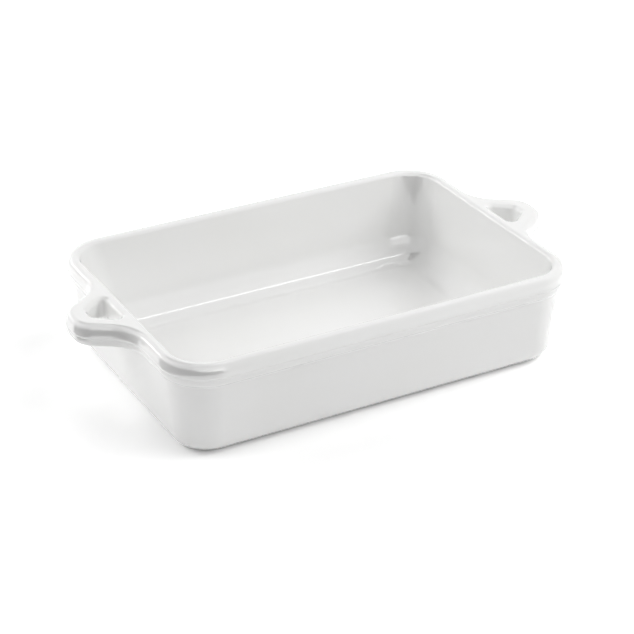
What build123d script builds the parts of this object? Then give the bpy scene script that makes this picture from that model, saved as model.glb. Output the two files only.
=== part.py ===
from build123d import *
from math import atan, cos, degrees, radians, sin, tan
import os

os.makedirs("parts", exist_ok=True)

# Lasagna dish of glazed stoneware, in millimetres and degrees.
# X runs along the long sides, Y along the short sides and Z up.
# The origin is the middle of the footprint, on the table.
# An inset is a distance in from the outermost line of the rim, square to that line.

# Rim in plan, and height of its crest above the table
rim_length = 340.0
rim_width = 234.0
rim_corner_radius = 36.5
dish_height = 78.5

# Section of the rim: an outward roll, a narrow flat crest and a soft inner shoulder
crest_inset = 5.8
roll_upper_height = 11.5
roll_lower_height = 7.5
roll_lower_inset = 6.0
roll_turn_under = 55.0
inner_shoulder_radius = 3.8

# Outside of the basin: a soft cove under the roll, a leaning wall and a round bottom edge
cove_radius = 4.5
wall_lean = 5.0
bottom_edge_radius = 11.0

# Well of the dish, the hollow that holds the food
well_top_inset = 9.7
well_lean = 10.0
well_floor_corner_radius = 28.0
well_floor_radius = 26.0
floor_thickness = 6.5

# Foot ring under the floor
foot_height = 1.0
foot_width = 6.0
foot_setback = 4.0
foot_edge_bevel = 0.4

# Loop handle in plan: a rounded nose, straight flanks and wide blends into the rim
handle_reach = 34.0
handle_nose_half_width = 14.2
handle_flank_angle = 33.0
handle_nose_radius = 21.0
handle_blend_radius = 30.0
handle_end_margin = 3.0
handle_seat_inset = 6.2

# Finger hole of a handle
hole_rim_inset = 1.5
hole_bar_width = 16.0
hole_root_half_width = 21.5
hole_nose_half_width = 5.5
hole_nose_radius = 6.5
hole_root_radius = 4.0
hole_edge_radius = 4.0

# A cutting tool passes this far beyond what it cuts
overrun = 10.0

# Heights and insets that follow from the sizes above
rim_side = rim_length / 2
roll_middle_height = dish_height - roll_upper_height
roll_share = tan(radians(roll_turn_under)) * roll_lower_height / roll_lower_inset
roll_end_angle = atan(roll_share)
roll_end_inset = roll_lower_inset * (1 - cos(roll_end_angle))
rim_underside_height = roll_middle_height - roll_lower_height * sin(roll_end_angle)
cove_turn = roll_turn_under - wall_lean
cove_drop = cove_radius * (sin(radians(roll_turn_under)) - sin(radians(wall_lean)))
cove_inset = cove_radius * (cos(radians(wall_lean)) - cos(radians(roll_turn_under)))
wall_height = rim_underside_height - cove_drop - foot_height
base_inset = roll_end_inset + cove_inset + wall_height * tan(radians(wall_lean))
core_inset = base_inset + bottom_edge_radius
floor_height = foot_height + floor_thickness
well_depth = dish_height - floor_height
well_top_corner_radius = rim_corner_radius - well_top_inset
well_floor_inset = well_top_inset + well_depth * tan(radians(well_lean))
foot_inset = core_inset + foot_setback
handle_flank_spread = handle_reach * tan(radians(handle_flank_angle))
handle_root_half_width = handle_nose_half_width + handle_flank_spread
handle_blend_length = handle_blend_radius * tan(radians(90 - handle_flank_angle) / 2)
handle_end = handle_root_half_width + handle_blend_length + handle_end_margin


def rim_outline(inset):
    """Plan of the dish, a rounded rectangle drawn in from the rim by the inset."""
    length = rim_length - 2 * inset
    width = rim_width - 2 * inset
    return RectangleRounded(length, width, rim_corner_radius - inset)


def handle_outline(inset):
    """Plan of the right handle's outer line, from its front end round the nose to its back end."""
    lean = radians(handle_flank_angle)
    shift = inset * (tan(lean) - 1 / cos(lean))
    root_x = rim_side - inset
    nose_x = root_x + handle_reach
    root_y = handle_root_half_width + shift
    nose_y = handle_nose_half_width + shift
    corners = [
        (root_x, -handle_end),
        (root_x, -root_y),
        (nose_x, -nose_y),
        (nose_x, nose_y),
        (root_x, root_y),
        (root_x, handle_end),
    ]
    blend = handle_blend_radius + inset
    nose = handle_nose_radius - inset
    return FilletPolyline(*corners, radius=[blend, nose, nose, blend])


def run_round(section, path):
    """Solid made by running a section round a path, with the section's X measured inwards."""
    start = Plane(origin=path @ 0, x_dir=Vector(0, 0, 1).cross(path % 0), z_dir=path % 0)
    return sweep(start * section, path=path)


def roll_section(depth):
    """Section of the rim's roll, from its outermost line to the given depth."""
    upper_centre = (crest_inset, roll_middle_height)
    lower_centre = (roll_lower_inset, roll_middle_height)
    upper = EllipticalCenterArc(upper_centre, crest_inset, roll_upper_height, 90, arc_size=90)
    lower = EllipticalCenterArc(
        lower_centre, roll_lower_inset, roll_lower_height, 180, arc_size=degrees(roll_end_angle)
    )
    back = Polyline(lower @ 1, (depth, rim_underside_height), (depth, dish_height), upper @ 0)
    return make_face([upper, lower, back])


def wall_section():
    """Section of the basin's wall, from the cove under the roll to the middle of the base."""
    lean = radians(90 - roll_turn_under)
    start = (roll_end_inset, rim_underside_height)
    cove = JernArc(start, (cos(lean), -sin(lean)), cove_radius, -cove_turn)
    base_corner = (base_inset, foot_height)
    back = Polyline(
        cove @ 1,
        base_corner,
        (core_inset, foot_height),
        (core_inset, rim_underside_height),
        cove @ 0,
    )
    face = make_face([cove, back])
    corner = face.vertices().sort_by_distance(base_corner)[0]
    return fillet(corner, bottom_edge_radius)


def well():
    """Hollow of the dish: a tapered pocket with a round floor edge, open at the top."""
    floor_length = rim_length - 2 * well_floor_inset
    floor_width = rim_width - 2 * well_floor_inset
    top_length = rim_length - 2 * well_top_inset
    top_width = rim_width - 2 * well_top_inset
    floor = RectangleRounded(floor_length, floor_width, well_floor_corner_radius)
    mouth = RectangleRounded(top_length, top_width, well_top_corner_radius)
    pocket = loft([Pos(0, 0, floor_height) * floor, Pos(0, 0, dish_height) * mouth], ruled=True)
    pocket = fillet(pocket.faces().sort_by(Axis.Z)[0].edges(), well_floor_radius)
    return pocket + Pos(0, 0, dish_height) * extrude(mouth, overrun)


def make_basin():
    """Floor and leaning walls, up to the flat underside of the rim."""
    path = rim_outline(0).wire()
    wall = run_round(wall_section(), path)
    core = extrude(rim_outline(core_inset), rim_underside_height - foot_height)
    return wall + Pos(0, 0, foot_height) * core - well()


def make_rim():
    """Rolled rim on top of the walls, let in at each short end for a handle."""
    band = run_round(roll_section(well_floor_inset), rim_outline(0).wire()) - well()
    top = band.faces().filter_by(Plane.XY).sort_by(Axis.Z)[-1]
    band = fillet(top.inner_wires()[0].edges(), inner_shoulder_radius)
    height = dish_height - rim_underside_height
    seat = Pos(rim_side - handle_seat_inset, 0, rim_underside_height) * Box(
        handle_seat_inset, 2 * handle_end, height, align=(Align.MIN, Align.CENTER, Align.MIN)
    )
    return band - seat - mirror(seat, Plane.YZ)


def finger_hole():
    """Plan of the rounded triangular hole through the right handle."""
    root_x = rim_side - hole_rim_inset
    nose_x = rim_side + handle_reach - hole_bar_width
    corners = [
        (root_x, -hole_root_half_width),
        (nose_x, -hole_nose_half_width),
        (nose_x, hole_nose_half_width),
        (root_x, hole_root_half_width),
    ]
    plan = make_face(Polyline(*corners, close=True))
    nose = plan.vertices().group_by(Axis.X)[-1]
    plan = fillet(nose, hole_nose_radius)
    root = plan.vertices().group_by(Axis.X)[0]
    return fillet(root, hole_root_radius)


def make_handle():
    """Right loop handle: the rim's roll carried round the nose, filled in, with a finger hole."""
    edge = run_round(roll_section(handle_seat_inset), handle_outline(0))
    inner_line = handle_outline(crest_inset)
    seat_x = rim_side - handle_seat_inset
    seat_line = Polyline(
        inner_line @ 1, (seat_x, handle_end), (seat_x, -handle_end), inner_line @ 0
    )
    height = dish_height - rim_underside_height
    core = extrude(make_face([inner_line, seat_line]), height)
    loop = edge + Pos(0, 0, rim_underside_height) * core
    hole = Pos(0, 0, rim_underside_height) * extrude(finger_hole(), height)
    loop -= hole
    rims = [face.inner_wires()[0] for face in loop.faces() if face.inner_wires()]
    hole_edges = [edge for wire in rims for edge in wire.edges()]
    return fillet(hole_edges, hole_edge_radius)


def make_foot_ring():
    """Low unglazed ring that the dish stands on."""
    outer = rim_outline(foot_inset)
    inner = rim_outline(foot_inset + foot_width)
    ring = extrude(outer - inner, foot_height)
    return chamfer(ring.faces().sort_by(Axis.Z)[0].edges(), foot_edge_bevel)


right_handle = make_handle()
nodes = {
    "basin": make_basin(),
    "rim_band": make_rim(),
    "left_handle": mirror(right_handle, Plane.YZ),
    "right_handle": right_handle,
    "foot_ring": make_foot_ring(),
}
for name, shape in nodes.items():
    export_step(shape, f"parts/{name}.step")
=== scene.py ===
"""Looks of a white glazed stoneware lasagna dish, laid out as a Blender add-on and run as a script."""

from math import atan, cos, pi, radians, sin, tan

import bpy
from bpy.props import FloatProperty, PointerProperty, StringProperty
from bpy.types import Operator, Panel, PropertyGroup
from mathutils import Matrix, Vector


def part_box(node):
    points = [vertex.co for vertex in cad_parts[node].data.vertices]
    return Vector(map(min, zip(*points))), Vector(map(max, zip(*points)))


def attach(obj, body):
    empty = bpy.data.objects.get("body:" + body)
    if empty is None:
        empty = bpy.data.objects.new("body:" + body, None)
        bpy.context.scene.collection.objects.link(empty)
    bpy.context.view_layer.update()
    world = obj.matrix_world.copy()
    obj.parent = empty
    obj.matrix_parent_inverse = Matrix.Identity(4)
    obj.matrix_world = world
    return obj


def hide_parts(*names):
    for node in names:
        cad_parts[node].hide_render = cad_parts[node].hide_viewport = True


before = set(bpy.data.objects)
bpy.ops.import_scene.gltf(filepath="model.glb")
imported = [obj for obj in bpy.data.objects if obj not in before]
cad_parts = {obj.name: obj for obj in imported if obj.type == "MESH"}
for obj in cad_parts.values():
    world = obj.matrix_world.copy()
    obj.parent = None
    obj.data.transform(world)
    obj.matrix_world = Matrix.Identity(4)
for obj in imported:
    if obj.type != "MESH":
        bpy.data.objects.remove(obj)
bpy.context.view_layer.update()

bl_info = {
    "name": "Lasagna dish",
    "version": (1, 0, 0),
    "blender": (4, 5, 0),
    "location": "3D View > Sidebar > Dish",
    "description": "Models and glazes a stoneware lasagna dish with loop handles",
    "category": "Object",
}

MM = 0.001

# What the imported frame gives: corners of the solids' boxes, from which the sizes below start
RIM_LOW, RIM_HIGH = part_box("rim_band")
BASIN_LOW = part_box("basin")[0]
HANDLE_LOW, HANDLE_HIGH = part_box("right_handle")
FOOT_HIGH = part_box("foot_ring")[1]


def length_property(name, description, default):
    """A size in metres that a user can change in the sidebar."""
    return FloatProperty(
        name=name, description=description, default=default, min=0.0, precision=5,
        subtype="DISTANCE", unit="LENGTH",
    )


def angle_property(name, description, default):
    """An angle that a user can change in the sidebar, given here in degrees."""
    return FloatProperty(
        name=name, description=description, default=radians(default), subtype="ANGLE", unit="ROTATION"
    )


def colour_property(name, description, default):
    """A colour as an sRGB hex value that a user can change in the sidebar."""
    return StringProperty(name=name, description=description, default=default)


class RimSizes(PropertyGroup):
    """Plan and section of the rim. An inset is measured in from the rim's outermost line."""

    length: length_property("Length", "Length of the rim", RIM_HIGH.x - RIM_LOW.x)
    width: length_property("Width", "Width of the rim", RIM_HIGH.y - RIM_LOW.y)
    corner: length_property("Corner", "Radius of the rim's corners in plan", 36.5 * MM)
    crest: length_property("Crest", "Height of the crest above the table", RIM_HIGH.z)
    seam: length_property("Seam", "Height of the rim's flat underside", RIM_LOW.z)
    crest_inset: length_property("Crest inset", "Where the roll meets the flat crest", 5.8 * MM)
    upper_height: length_property("Roll above", "Height of the roll above its widest line", 9.0 * MM)
    lower_height: length_property("Roll below", "Half height of the ellipse that ends the roll", 7.5 * MM)
    lower_inset: length_property("Roll depth", "Half depth of the ellipse that ends the roll", 6.0 * MM)
    turn_under: angle_property("Turn under", "How far the roll turns in under itself", 55.0)
    groove_drop: length_property("Groove drop", "From the widest line down to the groove", 2.7 * MM)
    groove_inset: length_property("Groove inset", "Inset of the groove over the bead", 0.95 * MM)
    groove_turn: angle_property("Groove turn", "How far the roll turns in over the bead", 42.0)
    shoulder: length_property("Shoulder", "Radius of the rim's inner edge", 3.8 * MM)


class BasinSizes(PropertyGroup):
    """Section of the basin's wall and the shape of its well."""

    cove: length_property("Cove", "Radius of the cove under the rim", 4.5 * MM)
    lean: angle_property("Lean", "Lean of the outer wall", 5.0)
    foot_height: length_property("Foot", "Height of the underside above the table", BASIN_LOW.z)
    base_radius: length_property("Base radius", "Radius of the bottom outer edge", 11.0 * MM)
    mouth_inset: length_property("Mouth inset", "Inset of the well at the crest", 9.7 * MM)
    well_lean: angle_property("Well lean", "Lean of the inner wall", 10.0)
    floor_height: length_property("Floor", "Height of the well's floor", 7.5 * MM)
    floor_corner: length_property("Floor corner", "Plan radius of the well at its floor", 28.0 * MM)
    floor_radius: length_property("Floor radius", "Radius between floor and wall", 26.0 * MM)


class HandleSizes(PropertyGroup):
    """Plan of a loop handle and of its finger hole."""

    reach: length_property("Reach", "How far a handle stands out", HANDLE_HIGH.x - RIM_HIGH.x)
    seat: length_property("Seat", "Distance from the middle to a handle's seat", HANDLE_LOW.x)
    end: length_property("End", "Half the length of a handle along the rim", HANDLE_HIGH.y)
    nose_half: length_property("Nose", "Half width of the nose's corners", 14.2 * MM)
    flank: angle_property("Flank", "Angle of the flanks from straight out", 33.0)
    nose_radius: length_property("Nose radius", "Radius of the nose's corners", 21.0 * MM)
    blend: length_property("Blend", "Radius where a flank runs into the rim", 30.0 * MM)
    hole_root: length_property("Hole inset", "Inset of the finger hole's inner wall", 1.5 * MM)
    bar: length_property("Bar", "Width of the bar outside the hole", 16.0 * MM)
    hole_root_half: length_property("Hole root", "Half width of the hole at the rim", 21.5 * MM)
    hole_nose_half: length_property("Hole nose", "Half width of the hole at the bar", 5.5 * MM)
    hole_nose_radius: length_property("Hole nose radius", "Radius of the hole's outer corners", 6.5 * MM)
    hole_root_radius: length_property("Hole root radius", "Radius of the hole's inner corners", 4.0 * MM)
    hole_edge: length_property("Hole edge", "Radius of the hole's rounded edges", 4.0 * MM)


class FootSizes(PropertyGroup):
    """Section of the foot ring."""

    inset: length_property("Inset", "Inset of the ring's outer side", RIM_HIGH.x - FOOT_HIGH.x)
    height: length_property("Height", "Height of the ring", FOOT_HIGH.z)
    width: length_property("Width", "Width of the ring", 6.0 * MM)
    edge: length_property("Edge", "Radius of the ring's worn edges", 0.4 * MM)


class Finish(PropertyGroup):
    """Colours of the dish and its stage."""

    glaze: colour_property("Glaze", "Fired colour of the white glaze", "F6F6F6")
    glaze_thin: colour_property("Thin glaze", "Colour where the glaze fired thinner", "F3F3F1")
    clay: colour_property("Clay", "Fired colour of the bare stoneware", "D9CFBD")
    clay_dark: colour_property("Clay specks", "Colour of the clay's darker grains", "B8A88F")
    floor: colour_property("Floor", "Colour of the studio floor", "F4F4F4")


class ViewSettings(PropertyGroup):
    """Where the camera stands, with azimuth and elevation in degrees and the aim in image pixels."""

    azimuth: FloatProperty(name="Azimuth", description="Camera's angle round the dish", default=-28.70)
    elevation: FloatProperty(name="Elevation", description="Camera's angle above level", default=27.68)
    distance: length_property("Distance", "From the camera to its aim", 1497.95 * MM)
    aim_height: length_property("Aim", "Height of the camera's aim above the table", 41.35 * MM)
    lens: FloatProperty(name="Lens", description="Focal length in mm on a 36 mm sensor", default=109.06)
    middle_x: FloatProperty(name="Middle x", description="Pixel column of the lens axis", default=314.93)
    middle_y: FloatProperty(name="Middle y", description="Pixel row of the lens axis", default=300.13)


# Modelling

# How finely the round stretches are drawn
CORNER_STEPS = 24
ROLL_STEPS = 14
LOWER_STEPS = 9
FILLET_STEPS = 20
SMALL_STEPS = 8
SMOOTH_ANGLE = radians(30)
BROAD_FACE_LEAD = 100
# How close points touch, lie at one height, or lie in the plane of a cut
TOUCH = 0.002 * MM
LEVEL_SLACK = 0.01 * MM
CUT_SLACK = 0.0005 * MM
SELECT_KINDS = ("VERT", "EDGE", "FACE")
QUAD_CORNERS = 4


def arc_profile(turn):
    """Bevel profile at which a corner that turns by this angle is rounded to a circle."""
    middle = 1 - 1 / (2 * (1 + cos(turn / 2)))
    return middle * middle


def level_at(height):
    """A test for points that lie at this height."""
    return lambda co: abs(co.z - height) < LEVEL_SLACK


def clear_selection(mesh):
    """Deselects every vertex, edge and face of a mesh that is not in edit mode."""
    for group in (mesh.vertices, mesh.edges, mesh.polygons):
        group.foreach_set("select", [False] * len(group))


def select(piece, kind, test):
    """Selects the vertices, edges or faces of a piece whose points all pass the test."""
    bpy.ops.object.mode_set(mode="OBJECT")
    bpy.context.tool_settings.mesh_select_mode = [k == kind for k in SELECT_KINDS]
    mesh = piece.data
    clear_selection(mesh)
    for vertex in mesh.vertices:
        vertex.select = test(vertex.co)
    for group in (mesh.edges, mesh.polygons):
        for item in group:
            item.select = all(mesh.vertices[i].select for i in item.vertices)
    bpy.ops.object.mode_set(mode="EDIT")


def only(piece):
    """Leaves edit mode with this piece alone selected and active."""
    if bpy.context.mode != "OBJECT":
        bpy.ops.object.mode_set(mode="OBJECT")
    bpy.ops.object.select_all(action="DESELECT")
    piece.select_set(True)
    bpy.context.view_layer.objects.active = piece


def new_piece(name):
    """A piece with an empty mesh, open in edit mode."""
    if bpy.context.mode != "OBJECT":
        bpy.ops.object.mode_set(mode="OBJECT")
    bpy.ops.object.select_all(action="DESELECT")
    bpy.ops.mesh.primitive_plane_add(size=1, location=(0, 0, 0))
    piece = bpy.context.active_object
    piece.name = piece.data.name = name
    bpy.ops.object.mode_set(mode="EDIT")
    bpy.ops.mesh.delete(type="VERT")
    return piece


def add_plate(length, width, centre_x, height):
    """Adds a flat rectangle to the open mesh, selected, facing up."""
    bpy.ops.mesh.select_all(action="DESELECT")
    bpy.ops.mesh.select_mode(type="VERT")
    bpy.ops.mesh.primitive_plane_add(size=1, location=(0, 0, 0))
    bpy.ops.transform.resize(value=(length, width, 1), center_override=(0, 0, 0))
    bpy.ops.transform.translate(value=(centre_x, 0, height))


def round_corners(radius, turn):
    """Rounds the selected corners, which turn by this angle, to a radius."""
    bpy.ops.mesh.bevel(
        offset=radius * tan(turn / 2), segments=CORNER_STEPS, affect="VERTICES",
        profile=arc_profile(turn), clamp_overlap=False,
    )


def rounded_plate(length, width, corner, height):
    """Adds a flat rounded rectangle round the middle of the dish, selected, facing up."""
    add_plate(length, width, 0, height)
    round_corners(corner, pi / 2)
    bpy.ops.mesh.select_mode(type="FACE")


def outline_plate(rim, inset, height):
    """A plate with the rim's outline, drawn in by the inset."""
    rounded_plate(rim.length - 2 * inset, rim.width - 2 * inset, rim.corner - inset, height)


def run_section(points):
    """Insets the selected face through a section of (inset, depth) points, from the first one."""
    for (inset, depth), (next_inset, next_depth) in zip(points, points[1:]):
        bpy.ops.mesh.inset(
            thickness=next_inset - inset, depth=next_depth - depth, use_even_offset=True
        )


def arc_angles(start, end, steps):
    """Angles spaced evenly from start to end."""
    return [start + (end - start) * i / steps for i in range(steps + 1)]


def ellipse_arc(across, along, end, steps):
    """Section of part of an ellipse that starts upright and stops at this angle."""
    return [(across * (1 - cos(a)), along * sin(a)) for a in arc_angles(0, end, steps)]


def bend(across, along, turn, steps):
    """Section that starts upright and has turned by this angle this far across and along."""
    angle = 2 * atan((1 - 2 * across / along / tan(turn)) ** 0.5)
    return ellipse_arc(across / (1 - cos(angle)), along / sin(angle), angle, steps)


def roll_end(rim):
    """Inset at which the roll, turned under on its ellipse, meets the seam."""
    angle = atan(tan(rim.turn_under) * rim.lower_height / rim.lower_inset)
    return rim.lower_inset * (1 - cos(angle))


def drop_cap():
    """Deletes the selected face and keeps its edge."""
    bpy.ops.mesh.delete(type="ONLY_FACE")


def merge():
    """Merges the points of the open piece that touch."""
    bpy.ops.mesh.select_all(action="SELECT")
    bpy.ops.mesh.remove_doubles(threshold=TOUCH)


def close_open_loops():
    """Fills the flat ring between the two open edges of the piece."""
    bpy.ops.mesh.select_all(action="DESELECT")
    bpy.ops.mesh.select_mode(type="EDGE")
    bpy.ops.mesh.select_non_manifold(
        extend=False, use_wire=False, use_multi_face=False, use_non_contiguous=False, use_verts=False
    )
    bpy.ops.mesh.fill()


def cut(point, normal, fill=False):
    """Cuts the whole piece by a plane and drops what lies beyond it, along the normal."""
    bpy.ops.mesh.select_all(action="SELECT")
    bpy.ops.mesh.bisect(
        plane_co=point, plane_no=normal, clear_outer=True, use_fill=fill, threshold=CUT_SLACK
    )


def name_points(piece, name):
    """Keeps the selected points under a name."""
    bpy.ops.object.vertex_group_assign_new()
    piece.vertex_groups[-1].name = name


def select_named(*names):
    """Selects the edges between the points kept under these names."""
    bpy.ops.mesh.select_all(action="DESELECT")
    bpy.ops.mesh.select_mode(type="EDGE")
    for name in names:
        bpy.ops.object.vertex_group_set_active(group=name)
        bpy.ops.object.vertex_group_select()


def finish_piece(piece, node, material):
    """Merges, turns normals outwards, smooths, and hangs the piece on the frame."""
    merge()
    bpy.ops.mesh.normals_make_consistent(inside=False)
    only(piece)
    piece.vertex_groups.clear()
    bpy.ops.object.shade_smooth_by_angle(angle=SMOOTH_ANGLE)
    weights = piece.modifiers.new("Broad faces lead", "WEIGHTED_NORMAL")
    weights.keep_sharp = True
    weights.weight = BROAD_FACE_LEAD
    bpy.ops.object.modifier_apply(modifier=weights.name)
    piece.data.materials.append(material)
    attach(piece, "root")
    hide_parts(node)


# Materials

# From one swell or grain to the next, and how deep it is
DIP_SPACING = 60 * MM
PEEL_SPACING, PEEL_DEPTH = 5 * MM, 0.2 * MM
GRIT_SPACING, GRIT_DEPTH = 0.8 * MM, 0.1 * MM
CARD_BLACK = "1A1410"


def linear(hex_colour):
    """An sRGB hex colour as the linear RGBA that a shader takes."""
    shades = [int(hex_colour[i : i + 2], 16) / 255 for i in (0, 2, 4)]
    return [s / 12.92 if s <= 0.04045 else ((s + 0.055) / 1.055) ** 2.4 for s in shades] + [1.0]


def add_node(tree, kind, settings=None, links=None):
    """Adds a node, sets its options and sockets, and links its sockets to other nodes' outputs."""
    node = tree.nodes.new(kind)
    settings = settings or {}
    for key in [k for k in settings if isinstance(k, str) and k not in node.inputs]:
        setattr(node, key, settings[key])
    for key, value in settings.items():
        if not isinstance(key, str) or key in node.inputs:
            node.inputs[key].default_value = value
    for key, output in (links or {}).items():
        tree.links.new(output, node.inputs[key])
    return node


def new_material(name):
    """A material with an empty node tree."""
    material = bpy.data.materials.new(name)
    material.use_nodes = True
    material.node_tree.nodes.clear()
    return material


def glaze_material(finish):
    """White tin glaze on stoneware, dipped and fired: a deep wet gloss over a faintly uneven white."""
    material = new_material("fired_white_glaze")
    tree = material.node_tree
    place = add_node(tree, "ShaderNodeTexCoord").outputs["Object"]
    # The dip runs a little thick and thin over a hand's width, which tints the white
    dip = add_node(tree, "ShaderNodeTexNoise", {"Scale": 1 / DIP_SPACING, "Detail": 2.0}, {"Vector": place})
    tint = add_node(
        tree, "ShaderNodeMix",
        {"data_type": "RGBA", 6: linear(finish.glaze), 7: linear(finish.glaze_thin)},
        {0: dip.outputs["Fac"]},
    )
    # Orange peel of fired glaze just bends the reflections
    peel = add_node(tree, "ShaderNodeTexNoise", {"Scale": 1 / PEEL_SPACING, "Detail": 1.0}, {"Vector": place})
    bump = add_node(
        tree, "ShaderNodeBump", {"Strength": 0.04, "Distance": PEEL_DEPTH}, {"Height": peel.outputs["Fac"]}
    )
    shader = add_node(
        tree, "ShaderNodeBsdfPrincipled",
        {"Roughness": 0.3, "IOR": 1.5, "Coat Weight": 1.0, "Coat Roughness": 0.05, "Coat IOR": 2.1},
        {"Base Color": tint.outputs[2], "Normal": bump.outputs[0], "Coat Normal": bump.outputs[0]},
    )
    add_node(tree, "ShaderNodeOutputMaterial", links={"Surface": shader.outputs[0]})
    return material


def clay_material(finish):
    """Bare stoneware, wiped free of glaze before firing: a dry, matte, faintly gritty beige."""
    material = new_material("bare_stoneware_clay")
    tree = material.node_tree
    place = add_node(tree, "ShaderNodeTexCoord").outputs["Object"]
    # Grit, drawn coarse enough to show
    grit = add_node(tree, "ShaderNodeTexNoise", {"Scale": 1 / GRIT_SPACING, "Detail": 3.0}, {"Vector": place})
    tint = add_node(
        tree, "ShaderNodeMix",
        {"data_type": "RGBA", 6: linear(finish.clay), 7: linear(finish.clay_dark)},
        {0: grit.outputs["Fac"]},
    )
    bump = add_node(
        tree, "ShaderNodeBump", {"Strength": 0.3, "Distance": GRIT_DEPTH}, {"Height": grit.outputs["Fac"]}
    )
    shader = add_node(
        tree, "ShaderNodeBsdfPrincipled", {"Roughness": 0.85, "IOR": 1.5},
        {"Base Color": tint.outputs[2], "Normal": bump.outputs[0]},
    )
    add_node(tree, "ShaderNodeOutputMaterial", links={"Surface": shader.outputs[0]})
    return material


def glaze():
    """The one glaze that all glazed pieces share."""
    return bpy.data.materials.get("fired_white_glaze") or glaze_material(bpy.context.scene.dish_finish)


# Pieces


def select_plate(piece, height):
    """Selects the many-cornered plate that lies at this height."""
    bpy.ops.object.mode_set(mode="OBJECT")
    bpy.context.tool_settings.mesh_select_mode = (False, False, True)
    mesh = piece.data
    clear_selection(mesh)
    for face in mesh.polygons:
        many = len(face.vertices) > QUAD_CORNERS
        face.select = many and abs(face.center.z - height) < LEVEL_SLACK
    bpy.ops.object.mode_set(mode="EDIT")


def draw_roll(piece, rim, flat_end):
    """Draws the roll both ways from the plate at its widest line: over the crest, and underneath."""
    middle = rim.crest - rim.upper_height
    bpy.ops.mesh.select_mode(type="FACE")
    bpy.ops.mesh.duplicate()
    upper = ellipse_arc(rim.crest_inset, rim.upper_height, pi / 2, ROLL_STEPS)
    if flat_end:
        upper.append((flat_end, rim.upper_height))
    run_section(upper)
    if flat_end:
        name_points(piece, "mouth")
    drop_cap()
    select_plate(piece, middle)
    bpy.ops.mesh.flip_normals()
    groove = bend(rim.groove_inset, rim.groove_drop, rim.groove_turn, SMALL_STEPS)
    inset, drop = groove[-1]
    bead = bend(roll_end(rim) - inset, middle - rim.seam - drop, rim.turn_under, LOWER_STEPS)
    run_section(groove + [(inset + x, drop + z) for x, z in bead[1:]])
    drop_cap()
    merge()


def well_walls(piece, rim, basin):
    """The well's ruled walls, from the mouth's loop, kept under that name, to its floor's sharp edge."""
    floor_inset = basin.mouth_inset + (rim.crest - basin.floor_height) * tan(basin.well_lean)
    rounded_plate(
        rim.length - 2 * floor_inset, rim.width - 2 * floor_inset, basin.floor_corner,
        basin.floor_height,
    )
    name_points(piece, "floor")
    drop_cap()
    select_named("mouth", "floor")
    bpy.ops.mesh.bridge_edge_loops()


def round_edges(radius, turn, steps):
    """Rounds the selected edges, between faces that turn by this angle, to a radius."""
    bpy.ops.mesh.bevel(
        offset=radius * tan(turn / 2), offset_type="OFFSET", segments=steps, affect="EDGES",
        profile=arc_profile(turn), clamp_overlap=False,
    )


class DISH_OT_basin(Operator):
    """Models the basin: floor, leaning walls and round-cornered well"""

    bl_idname = "dish.basin"
    bl_label = "Basin"

    def execute(self, context):
        rim, basin = context.scene.dish_rim, context.scene.dish_basin
        piece = new_piece("glazed_basin")
        outline_plate(rim, basin.mouth_inset, rim.crest)
        name_points(piece, "mouth")
        drop_cap()
        well_walls(piece, rim, basin)
        cut((0, 0, rim.seam), (0, 0, 1))
        select(piece, "EDGE", level_at(basin.floor_height))
        bpy.ops.mesh.edge_face_add()
        select(piece, "EDGE", level_at(basin.floor_height))
        round_edges(basin.floor_radius, pi / 2 - basin.well_lean, FILLET_STEPS)
        outline_plate(rim, roll_end(rim), rim.seam)
        bpy.ops.mesh.flip_normals()
        run_section(self.outside(rim, basin))
        close_open_loops()
        finish_piece(piece, "basin", glaze())
        return {"FINISHED"}

    @staticmethod
    def outside(rim, basin):
        """Section of the outside: the cove under the rim, the wall and the round bottom edge."""
        start, drop = rim.turn_under, rim.seam - basin.foot_height
        cove = [
            (basin.cove * (cos(a) - cos(start)), basin.cove * (sin(start) - sin(a)))
            for a in arc_angles(start, basin.lean, SMALL_STEPS)
        ]
        cove_inset, cove_drop = cove[-1]
        corner_inset = cove_inset + (drop - cove_drop) * tan(basin.lean)
        radius = basin.base_radius
        middle = corner_inset + radius * tan((pi / 2 - basin.lean) / 2)
        base = [
            (middle - radius * cos(a), drop - radius * (1 - sin(a)))
            for a in arc_angles(basin.lean, pi / 2, FILLET_STEPS)
        ]
        return cove + base


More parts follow.
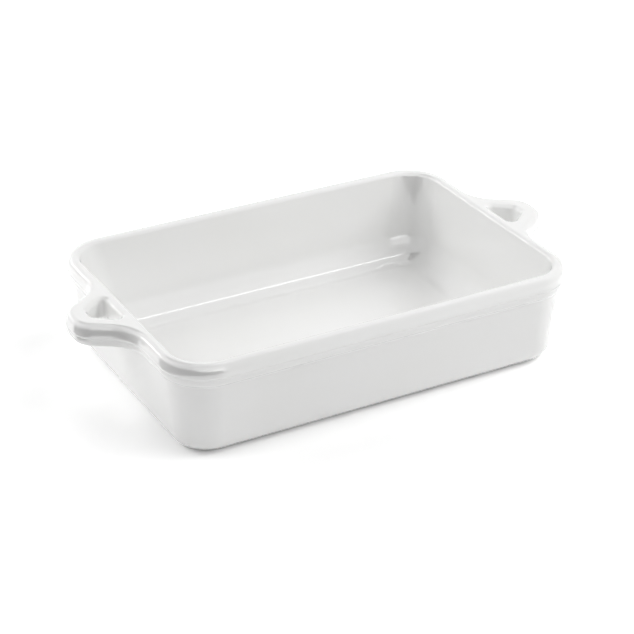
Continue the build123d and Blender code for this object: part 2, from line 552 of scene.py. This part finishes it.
class DISH_OT_rim(Operator):
    """Models the rolled rim, let in at each short end for a handle"""

    bl_idname = "dish.rim"
    bl_label = "Rim"
    # The block that cuts a handle's seat, as shares of the rim's length and crest
    BLOCK_DEPTH_SHARE = 1 / 4
    BLOCK_HEIGHT_SHARE = 2

    def execute(self, context):
        scene = context.scene
        rim, basin = scene.dish_rim, scene.dish_basin
        piece = new_piece("glazed_rim")
        outline_plate(rim, 0, rim.crest - rim.upper_height)
        draw_roll(piece, rim, basin.mouth_inset)
        well_walls(piece, rim, basin)
        select_named("mouth")
        round_edges(rim.shoulder, pi / 2 - basin.well_lean, SMALL_STEPS)
        cut((0, 0, rim.seam), (0, 0, -1))
        merge()
        close_open_loops()
        for side in (-1, 1):
            self.let_in(piece, rim, scene.dish_handle, side)
        finish_piece(piece, "rim_band", glaze())
        return {"FINISHED"}

    @classmethod
    def let_in(cls, piece, rim, handle, side):
        """Cuts the seat of one handle out of the roll."""
        bpy.ops.mesh.select_all(action="SELECT")
        bpy.ops.mesh.normals_make_consistent(inside=False)
        cutter = new_piece("handle_seat")
        depth = cls.BLOCK_DEPTH_SHARE * rim.length
        add_plate(depth, 2 * handle.end, side * (handle.seat + depth / 2), 0)
        bpy.ops.mesh.select_mode(type="FACE")
        height = cls.BLOCK_HEIGHT_SHARE * rim.crest
        bpy.ops.mesh.extrude_region_move(TRANSFORM_OT_translate={"value": (0, 0, height)})
        bpy.ops.mesh.select_all(action="SELECT")
        bpy.ops.mesh.normals_make_consistent(inside=False)
        only(piece)
        seat = piece.modifiers.new("Handle seat", "BOOLEAN")
        seat.operation = "DIFFERENCE"
        seat.solver = "EXACT"
        seat.object = cutter
        bpy.ops.object.modifier_apply(modifier=seat.name)
        bpy.data.objects.remove(cutter)
        bpy.ops.object.mode_set(mode="EDIT")


class DISH_OT_handles(Operator):
    """Models one loop handle with its finger hole, and mirrors it to the other end"""

    bl_idname = "dish.handles"
    bl_label = "Handles"
    # How far the outline reaches past its seat, in crest insets, and along the rim, in handle ends
    BACK_DEPTH_SHARE = 6
    BACK_WIDTH_SHARE = 1.5
    ROOT_CUTS = 2

    def execute(self, context):
        scene = context.scene
        rim, handle = scene.dish_rim, scene.dish_handle
        hole = self.finger_hole(rim, handle)
        piece = new_piece("glazed_right_handle")
        self.outline(piece, rim, handle)
        draw_roll(piece, rim, None)
        only(piece)
        hole.select_set(True)
        bpy.ops.object.join()
        bpy.ops.object.mode_set(mode="EDIT")
        for height in (rim.crest, rim.seam):
            select(piece, "EDGE", level_at(height))
            bpy.ops.mesh.fill()
        merge()
        cut((handle.seat, 0, 0), (-1, 0, 0), fill=True)
        cut((0, handle.end, 0), (0, 1, 0), fill=True)
        cut((0, -handle.end, 0), (0, -1, 0), fill=True)
        bpy.ops.object.mode_set(mode="OBJECT")
        other = piece.copy()
        other.data = piece.data.copy()
        other.name = other.data.name = "glazed_left_handle"
        context.collection.objects.link(other)
        bpy.ops.object.mode_set(mode="EDIT")
        finish_piece(piece, "right_handle", glaze())
        only(other)
        bpy.ops.object.mode_set(mode="EDIT")
        bpy.ops.mesh.select_all(action="SELECT")
        bpy.ops.transform.resize(value=(-1, 1, 1), center_override=(0, 0, 0))
        finish_piece(other, "left_handle", glaze())
        return {"FINISHED"}

    @classmethod
    def outline(cls, piece, rim, handle):
        """A plate at the roll's widest line with the handle's outline, reaching back past its seat."""
        root_x, height = rim.length / 2, rim.crest - rim.upper_height
        nose_x, depth = root_x + handle.reach, cls.BACK_DEPTH_SHARE * rim.crest_inset
        root_half = handle.nose_half + handle.reach * tan(handle.flank)
        back_half = cls.BACK_WIDTH_SHARE * handle.end
        add_plate(depth, 2 * back_half, root_x - depth / 2, height)

        def at_root(co):
            return abs(co.x - root_x) < TOUCH

        def inner_root(co):
            return at_root(co) and abs(co.y) < back_half - TOUCH

        select(piece, "EDGE", at_root)
        bpy.ops.mesh.subdivide(number_cuts=cls.ROOT_CUTS)
        select(piece, "VERT", inner_root)
        spread = (cls.ROOT_CUTS + 1) * root_half / back_half
        bpy.ops.transform.resize(value=(1, spread, 1), center_override=(0, 0, 0))
        select(piece, "EDGE", inner_root)
        bpy.ops.mesh.extrude_region_move(TRANSFORM_OT_translate={"value": (handle.reach, 0, 0)})
        bpy.ops.transform.resize(
            value=(1, handle.nose_half / root_half, 1), center_override=(0, 0, 0)
        )
        select(piece, "EDGE", inner_root)
        bpy.ops.mesh.dissolve_edges(use_verts=False)
        turn = pi / 2 - handle.flank
        for test, radius in (
            (inner_root, handle.blend),
            (lambda co: abs(co.x - nose_x) < TOUCH, handle.nose_radius),
        ):
            select(piece, "VERT", test)
            round_corners(radius, turn)
        select_plate(piece, height)
        bpy.ops.object.mode_set(mode="OBJECT")
        upside_down = [f for f in piece.data.polygons if f.normal.z < 0]
        bpy.ops.object.mode_set(mode="EDIT")
        if upside_down:
            bpy.ops.mesh.flip_normals()

    @staticmethod
    def finger_hole(rim, handle):
        """The wall of the finger hole, rounded out to the crest above and the underside below."""
        edge, inner_root = handle.hole_edge, rim.length / 2 - handle.hole_root
        outer_nose = rim.length / 2 + handle.reach - handle.bar
        slope = (handle.hole_root_half - handle.hole_nose_half) / (outer_nose - inner_root)
        spread = edge * (1 + slope * slope) ** 0.5
        root_x, root_half = inner_root - edge, handle.hole_root_half + edge * slope + spread
        nose_x, nose_half = outer_nose + edge, handle.hole_nose_half - edge * slope + spread
        piece = new_piece("finger_hole")
        add_plate(nose_x - root_x, 2 * root_half, (root_x + nose_x) / 2, rim.crest)
        select(piece, "VERT", lambda co: abs(co.x - nose_x) < TOUCH)
        bpy.ops.transform.resize(value=(1, nose_half / root_half, 1), center_override=(0, 0, 0))
        round_corners(handle.hole_nose_radius + edge, pi / 2 - atan(slope))
        select(piece, "VERT", lambda co: abs(co.x - root_x) < TOUCH)
        round_corners(handle.hole_root_radius + edge, pi / 2 + atan(slope))
        bpy.ops.mesh.select_all(action="SELECT")
        bpy.ops.mesh.select_mode(type="FACE")
        run_section([(edge * sin(a), -edge * (1 - cos(a))) for a in arc_angles(0, pi / 2, SMALL_STEPS)])
        middle = (rim.crest + rim.seam) / 2
        bpy.ops.mesh.extrude_region_move(
            TRANSFORM_OT_translate={"value": (0, 0, middle - rim.crest + edge)}
        )
        drop_cap()
        bpy.ops.mesh.select_all(action="SELECT")
        bpy.ops.mesh.duplicate()
        bpy.ops.transform.resize(value=(1, 1, -1), center_override=(0, 0, middle))
        merge()
        return piece


class DISH_OT_foot(Operator):
    """Models the bare foot ring that the dish stands on"""

    bl_idname = "dish.foot"
    bl_label = "Foot ring"

    def execute(self, context):
        rim, foot = context.scene.dish_rim, context.scene.dish_foot
        piece = new_piece("bare_foot_ring")
        outline_plate(rim, foot.inset, foot.height)
        bpy.ops.mesh.flip_normals()
        height, edge, width = foot.height, foot.edge, foot.width
        angles = arc_angles(0, pi / 2, SMALL_STEPS)
        outer = [(edge * (1 - cos(a)), height - edge * (1 - sin(a))) for a in angles]
        inner = [(width - x, depth) for x, depth in reversed(outer)]
        run_section([(0, 0)] + outer + inner + [(width, 0)])
        drop_cap()
        close_open_loops()
        finish_piece(piece, "foot_ring", clay_material(context.scene.dish_finish))
        return {"FINISHED"}


# Stage

IMAGE_SIDE = 634
SENSOR_WIDTH = 36.0
CAMERA_REACH = 50
FLOOR_SIDE = 12
# Colour of the floor where it is looked at, and the faint glow that is added there
FLOOR_SEEN = 1.28
FLOOR_LIFT = 0.015
WORLD_LIGHT = 0.15
# How far the softboxes stand from the dish, how high each is, and the height that they aim at
TENT_RADIUS = 1.8
PANEL_HEIGHT = 0.765
LAMP_AIM = 0.04
# Softboxes stand in three rings round the dish: degrees from one place to the next, by elevation
RING_STEPS = {12: 30, 36: 36, 60: 60}
# Full light of a softbox and full glow of a sheet, in W per square metre
FULL_LIGHT, FULL_GLOW = 14.5, 6
FULL, TWO_THIRDS, HALF, THIRD = 1, 2 / 3, 1 / 2, 1 / 3
# Softboxes that light the dish, unseen in the glaze: name, azimuth, elevation, share of full light
PANELS = (
    ("Low left back", -120, 12, THIRD),
    ("Low front right", 30, 12, THIRD),
    ("Middle back left", -144, 36, FULL),
    ("Middle left back", -108, 36, HALF),
    ("Middle front right", 36, 36, THIRD),
    ("Middle right", 72, 36, FULL),
    ("High back", -180, 60, THIRD),
    ("High right", 60, 60, HALF),
)
# Glowing sheets that only the glaze shows: name, azimuth, elevation, share of full glow
SHEETS = (
    ("Low left back", -120, 12, FULL),
    ("Low front left", -30, 12, HALF),
    ("Low front", 0, 12, TWO_THIRDS),
    ("Middle left back", -108, 36, THIRD),
    ("Middle front left", -36, 36, THIRD),
    ("Middle front", 0, 36, THIRD),
    ("Middle right", 72, 36, FULL),
    ("High right", 60, 60, THIRD),
)
# The black cards below are seen by reflections alone. The flag lies in front and bends up at its
# far side.
FLAG_AZIMUTH = -36
FLAG_NEAR, FLAG_FAR = 0.48, 0.66
FLAG_WIDTH, FLAG_HEIGHT = 1.1, 0.2
# The wing stands upright at the left: the two ends of its foot, and its height at each
WING_FOOT = ((-0.26, 0.03), (-0.44, -0.44))
WING_HEIGHTS = (0.09, 0.24)
# The scrim hangs high at the back left
SCRIM_AZIMUTH, SCRIM_ELEVATION = -146, 60
SCRIM_DISTANCE, SCRIM_SIDE = 1.6, 0.9
# Thin tube along the dish, for the fine lines on the rim and at the well's foot. Its light is in W
# per square metre and its tilt in radians.
TUBE_MIDDLE = (0.8, -0.15, 1.64)
TUBE_LENGTH, TUBE_WIDTH = 1.5, 0.05
TUBE_LIGHT, TUBE_TILT = 17, 0.1
# Thin strip low behind the left end, for the line on the left roll
STRIP_AZIMUTH, STRIP_ELEVATION = -149, 15
STRIP_LENGTH, STRIP_WIDTH = 1.0, 0.04
STRIP_LIGHT = 40


def towards(azimuth, elevation):
    """Direction from the dish. Azimuth 0 is in front of it, and 90 to its right."""
    a, e = radians(azimuth), radians(elevation)
    return Vector((sin(a) * cos(e), -cos(a) * cos(e), sin(e)))


def add_softbox(name, azimuth, elevation, distance, width, height, power):
    """A soft area lamp that faces the dish."""
    lamp = bpy.data.lights.new(name, "AREA")
    lamp.shape = "RECTANGLE"
    lamp.size, lamp.size_y, lamp.energy = width, height, power
    box = bpy.data.objects.new(name, lamp)
    direction = towards(azimuth, elevation)
    box.location = direction * distance + Vector((0, 0, LAMP_AIM))
    box.rotation_euler = direction.to_track_quat("Z", "Y").to_euler()
    bpy.context.collection.objects.link(box)
    return box


def seen_share(tree):
    """1 for what the camera, a reflection or clear glass sees, and 0 for light that falls on things."""
    path = add_node(tree, "ShaderNodeLightPath")
    share = path.outputs["Is Camera Ray"]
    for name in ("Is Glossy Ray", "Is Transmission Ray"):
        share = add_node(
            tree, "ShaderNodeMath", {"operation": "MAXIMUM"}, {0: share, 1: path.outputs[name]}
        ).outputs[0]
    return share


def black_card():
    """Flocked black card: it gives back almost nothing, so a reflection of it reads as dark glaze."""
    material = bpy.data.materials.get("black_flocked_card")
    if material:
        return material
    material = new_material("black_flocked_card")
    tree = material.node_tree
    card = add_node(tree, "ShaderNodeBsdfDiffuse", {"Color": linear(CARD_BLACK)})
    add_node(tree, "ShaderNodeOutputMaterial", links={"Surface": card.outputs[0]})
    return material


def floor_material(finish):
    """Matte studio board: pale, with no gloss, a little lifted to white where it is looked at."""
    material = new_material("matte_studio_board")
    tree = material.node_tree
    share = seen_share(tree)
    shade = add_node(
        tree, "ShaderNodeMix",
        {"data_type": "RGBA", 6: linear(finish.floor), 7: (FLOOR_SEEN, FLOOR_SEEN, FLOOR_SEEN, 1)},
        {0: share},
    )
    board = add_node(tree, "ShaderNodeBsdfDiffuse", links={"Color": shade.outputs[2]})
    lift = add_node(tree, "ShaderNodeMath", {"operation": "MULTIPLY", 1: FLOOR_LIFT}, {0: share})
    glow = add_node(tree, "ShaderNodeEmission", {"Color": (1, 1, 1, 1)}, {"Strength": lift.outputs[0]})
    both = add_node(tree, "ShaderNodeAddShader", links={0: board.outputs[0], 1: glow.outputs[0]})
    # From below the board is clear, so that the underside can be looked at
    side = add_node(tree, "ShaderNodeNewGeometry")
    clear = add_node(tree, "ShaderNodeBsdfTransparent")
    shown = add_node(
        tree, "ShaderNodeMixShader",
        links={0: side.outputs["Backfacing"], 1: both.outputs[0], 2: clear.outputs[0]},
    )
    add_node(tree, "ShaderNodeOutputMaterial", links={"Surface": shown.outputs[0]})
    return material


class DISH_OT_stage(Operator):
    """Lays the floor, hangs the softboxes and sets the camera"""

    bl_idname = "dish.stage"
    bl_label = "Stage"

    def execute(self, context):
        scene = context.scene
        finish, view = scene.dish_finish, scene.dish_view
        if context.mode != "OBJECT":
            bpy.ops.object.mode_set(mode="OBJECT")
        bpy.ops.object.select_all(action="DESELECT")
        bpy.ops.mesh.primitive_plane_add(size=FLOOR_SIDE, location=(0, 0, 0))
        floor = context.active_object
        floor.name = "studio_floor"
        floor.data.materials.append(floor_material(finish))
        for panels, full, reflected in ((PANELS, FULL_LIGHT, False), (SHEETS, FULL_GLOW, True)):
            for name, azimuth, elevation, share in panels:
                half_step = radians(RING_STEPS[elevation] / 2)
                width = 2 * TENT_RADIUS * tan(half_step) * cos(radians(elevation))
                power = full * share * width * PANEL_HEIGHT
                lamp = add_softbox(name, azimuth, elevation, TENT_RADIUS, width, PANEL_HEIGHT, power)
                lamp.visible_glossy = reflected
                lamp.visible_diffuse = not reflected
        self.add_flag()
        self.add_scrim()
        self.add_wing()
        self.add_tube()
        self.add_strip()
        world = bpy.data.worlds.new("studio")
        scene.world = world
        world.use_nodes = True
        tree = world.node_tree
        tree.nodes.clear()
        lit = add_node(tree, "ShaderNodeBackground", {"Color": (1, 1, 1, 1), "Strength": WORLD_LIGHT})
        seen = add_node(tree, "ShaderNodeBackground", {"Color": (1, 1, 1, 1), "Strength": 1.0})
        mixed = add_node(
            tree, "ShaderNodeMixShader", links={0: seen_share(tree), 1: lit.outputs[0], 2: seen.outputs[0]}
        )
        add_node(tree, "ShaderNodeOutputWorld", links={"Surface": mixed.outputs[0]})
        self.set_camera(scene, view)
        scene.view_settings.view_transform = "Standard"
        return {"FINISHED"}

    @staticmethod
    def new_card(name):
        """A square black card of unit size at the origin, which only reflections see."""
        bpy.ops.object.select_all(action="DESELECT")
        bpy.ops.mesh.primitive_plane_add(size=1, location=(0, 0, 0))
        card = bpy.context.active_object
        card.name = name
        card.data.materials.append(black_card())
        card.visible_camera = card.visible_diffuse = card.visible_shadow = False
        return card

    @classmethod
    def add_flag(cls):
        """A bent black card in front, which the front left corner reflects."""
        flag = cls.new_card("black_flag")
        bpy.ops.object.mode_set(mode="EDIT")
        bpy.ops.transform.resize(
            value=(FLAG_WIDTH, FLAG_FAR - FLAG_NEAR, 1), center_override=(0, 0, 0)
        )
        bpy.ops.transform.translate(value=(0, -(FLAG_NEAR + FLAG_FAR) / 2, MM))
        select(flag, "EDGE", lambda co: abs(co.y + FLAG_FAR) < MM)
        bpy.ops.mesh.extrude_region_move(TRANSFORM_OT_translate={"value": (0, 0, FLAG_HEIGHT)})
        bpy.ops.object.mode_set(mode="OBJECT")
        flag.rotation_euler.z = radians(FLAG_AZIMUTH)

    @classmethod
    def add_scrim(cls):
        """A black card high at the back left, which the well's inner corner reflects."""
        scrim = cls.new_card("black_scrim")
        direction = towards(SCRIM_AZIMUTH, SCRIM_ELEVATION)
        scrim.scale = (SCRIM_SIDE, SCRIM_SIDE, 1)
        scrim.rotation_euler = direction.to_track_quat("Z", "Y").to_euler()
        scrim.location = direction * SCRIM_DISTANCE

    @classmethod
    def add_wing(cls):
        """A black card beside the dish, which its left handle and front left corner reflect."""
        wing = cls.new_card("black_wing")
        (near_x, near_y), (far_x, far_y) = WING_FOOT
        corners = (
            (near_x, near_y, 0), (far_x, far_y, 0),
            (near_x, near_y, WING_HEIGHTS[0]), (far_x, far_y, WING_HEIGHTS[1]),
        )
        for point, corner in zip(wing.data.vertices, corners):
            point.co = corner

    @staticmethod
    def add_tube():
        """A thin overhead tube, which draws the fine lines on the rim and at the well's foot."""
        power = TUBE_LIGHT * TUBE_LENGTH * TUBE_WIDTH
        tube = add_softbox("Overhead tube", 0, 90, 1, TUBE_LENGTH, TUBE_WIDTH, power)
        tube.location = TUBE_MIDDLE
        tube.rotation_euler = (TUBE_TILT, 0, 0)
        tube.visible_diffuse = False

    @staticmethod
    def add_strip():
        """A thin low strip behind the left end, which draws the line on the left roll."""
        power = STRIP_LIGHT * STRIP_LENGTH * STRIP_WIDTH
        strip = add_softbox(
            "Low strip", STRIP_AZIMUTH, STRIP_ELEVATION, TENT_RADIUS, STRIP_LENGTH, STRIP_WIDTH, power
        )
        strip.visible_diffuse = False

    @staticmethod
    def set_camera(scene, view):
        """The camera at the photograph's viewing angle."""
        camera = bpy.data.cameras.new("camera")
        camera.lens, camera.sensor_width = view.lens, SENSOR_WIDTH
        camera.shift_x = (IMAGE_SIDE / 2 - view.middle_x) / IMAGE_SIDE
        camera.shift_y = (view.middle_y - IMAGE_SIDE / 2) / IMAGE_SIDE
        camera.clip_end = CAMERA_REACH
        holder = bpy.data.objects.new("camera", camera)
        direction = towards(view.azimuth, view.elevation)
        holder.location = direction * view.distance + Vector((0, 0, view.aim_height))
        holder.rotation_euler = direction.to_track_quat("Z", "Y").to_euler()
        scene.collection.objects.link(holder)
        scene.camera = holder


class DISH_PT_panel(Panel):
    """Lists the dish's pieces and sizes"""

    bl_idname = "DISH_PT_panel"
    bl_label = "Lasagna dish"
    bl_space_type = "VIEW_3D"
    bl_region_type = "UI"
    bl_category = "Dish"

    def draw(self, context):
        for operator in OPERATORS:
            self.layout.operator(operator.bl_idname)
        for name in GROUPS:
            box = self.layout.box()
            group = getattr(context.scene, name)
            for key in group.__annotations__:
                box.prop(group, key)


GROUPS = {
    "dish_rim": RimSizes,
    "dish_basin": BasinSizes,
    "dish_handle": HandleSizes,
    "dish_foot": FootSizes,
    "dish_finish": Finish,
    "dish_view": ViewSettings,
}
OPERATORS = (DISH_OT_basin, DISH_OT_rim, DISH_OT_handles, DISH_OT_foot, DISH_OT_stage)


def register():
    """Adds the dish's settings, operators and panel."""
    for group in GROUPS.values():
        bpy.utils.register_class(group)
    for name, group in GROUPS.items():
        setattr(bpy.types.Scene, name, PointerProperty(type=group))
    for kind in (*OPERATORS, DISH_PT_panel):
        bpy.utils.register_class(kind)


def unregister():
    """Takes them out again."""
    for kind in reversed((*OPERATORS, DISH_PT_panel)):
        bpy.utils.unregister_class(kind)
    for name, group in reversed(GROUPS.items()):
        delattr(bpy.types.Scene, name)
        bpy.utils.unregister_class(group)


def main():
    """Builds the dish on its stage."""
    register()
    bpy.ops.dish.basin()
    bpy.ops.dish.rim()
    bpy.ops.dish.handles()
    bpy.ops.dish.foot()
    bpy.ops.dish.stage()


if __name__ == "__main__":
    main()
